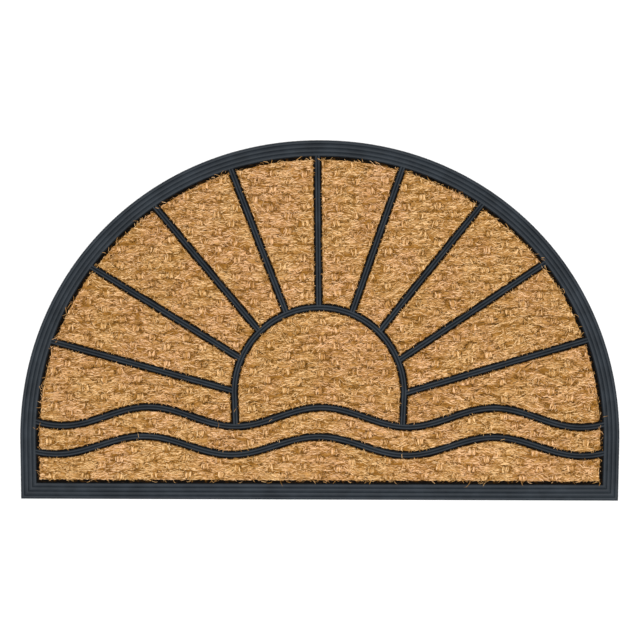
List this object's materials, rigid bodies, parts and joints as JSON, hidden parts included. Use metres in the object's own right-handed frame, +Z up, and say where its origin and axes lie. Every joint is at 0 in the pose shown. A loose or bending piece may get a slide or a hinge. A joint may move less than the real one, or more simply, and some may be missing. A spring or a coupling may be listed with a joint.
{
  "type": "coir doormat",
  "caption": "Half-round doormat: woven coir fields in a ribbed rubber tray whose ribs draw a rising sun, rays and waves.",
  "frame": {"origin": "middle of the mat's bounding rectangle, on the floor", "axes": "+X along the straight front edge, +Y from the front edge towards the top of the arch, +Z up off the floor"},
  "size_m": [0.762, 0.457, 0.01],
  "materials": {
    "rubber": "matt moulded",
    "coir": "natural woven coir"
  },
  "bodies": {
    "root": {"rubber_moulding": "rubber", "coir_sun": "coir", "coir_ray_01": "coir", "coir_ray_02": "coir", "coir_ray_03": "coir", "coir_ray_04": "coir", "coir_ray_05": "coir", "coir_ray_06": "coir", "coir_ray_07": "coir", "coir_ray_08": "coir", "coir_ray_09": "coir", "coir_ray_10": "coir", "coir_wave": "coir", "coir_shore": "coir"}
  },
  "joints": []
}
